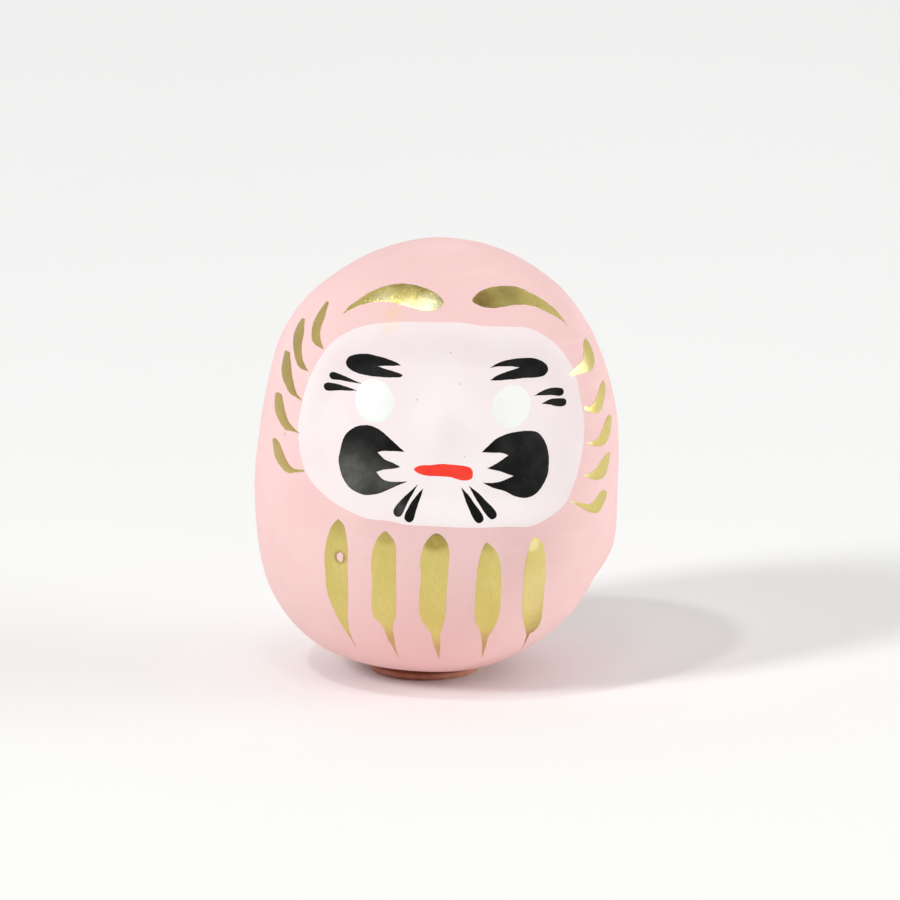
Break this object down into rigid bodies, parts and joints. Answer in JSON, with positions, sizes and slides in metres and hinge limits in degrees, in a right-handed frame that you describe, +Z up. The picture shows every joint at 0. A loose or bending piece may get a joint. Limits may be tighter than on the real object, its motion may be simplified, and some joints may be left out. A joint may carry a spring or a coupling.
{
  "type": "daruma doll",
  "caption": "Round, armless pink papier-mache daruma doll with a pale sunken face, black brows and whiskers, blank white eyes and gold brush strokes, weighted to stand upright.",
  "frame": {"origin": "centre of the bounding box at the height of the surface the doll stands on", "axes": "+Z up from the base disc to the crown, -Y the way the face looks, +X towards the doll's side that is on the right as seen from the front"},
  "size_m": [0.0663, 0.0668, 0.08],
  "materials": {
    "pink_paper": "matte",
    "clay": "matte",
    "base_board": "matte",
    "face_paint": "matte",
    "white_paint": "matte",
    "black_ink": "satin",
    "red_paint": "satin",
    "gold_paint": "satin"
  },
  "bodies": {
    "root": {"paper_shell": "pink_paper", "clay_weight": "clay", "base_disc": "base_board", "face_coat": "face_paint", "eye_white_left": "white_paint", "eye_white_right": "white_paint", "mouth": "red_paint", "black_brow_left": "black_ink", "black_brow_right": "black_ink", "lash_left_upper": "black_ink", "lash_left_lower": "black_ink", "lash_right_upper": "black_ink", "lash_right_lower": "black_ink", "whisker_left": "black_ink", "whisker_right": "black_ink", "chin_stroke_left_outer": "black_ink", "chin_stroke_left_inner": "black_ink", "chin_stroke_right_inner": "black_ink", "chin_stroke_right_outer": "black_ink", "gold_brow_left": "gold_paint", "gold_brow_right": "gold_paint", "beard_stroke_1": "gold_paint", "beard_stroke_2": "gold_paint", "beard_stroke_3": "gold_paint", "beard_stroke_4": "gold_paint", "beard_stroke_5": "gold_paint", "side_stroke_left_1": "gold_paint", "side_stroke_left_2": "gold_paint", "side_stroke_left_3": "gold_paint", "side_stroke_left_4": "gold_paint", "side_stroke_left_5": "gold_paint", "side_stroke_right_1": "gold_paint", "side_stroke_right_2": "gold_paint", "side_stroke_right_3": "gold_paint", "side_stroke_right_4": "gold_paint", "side_stroke_right_5": "gold_paint"}
  },
  "joints": []
}
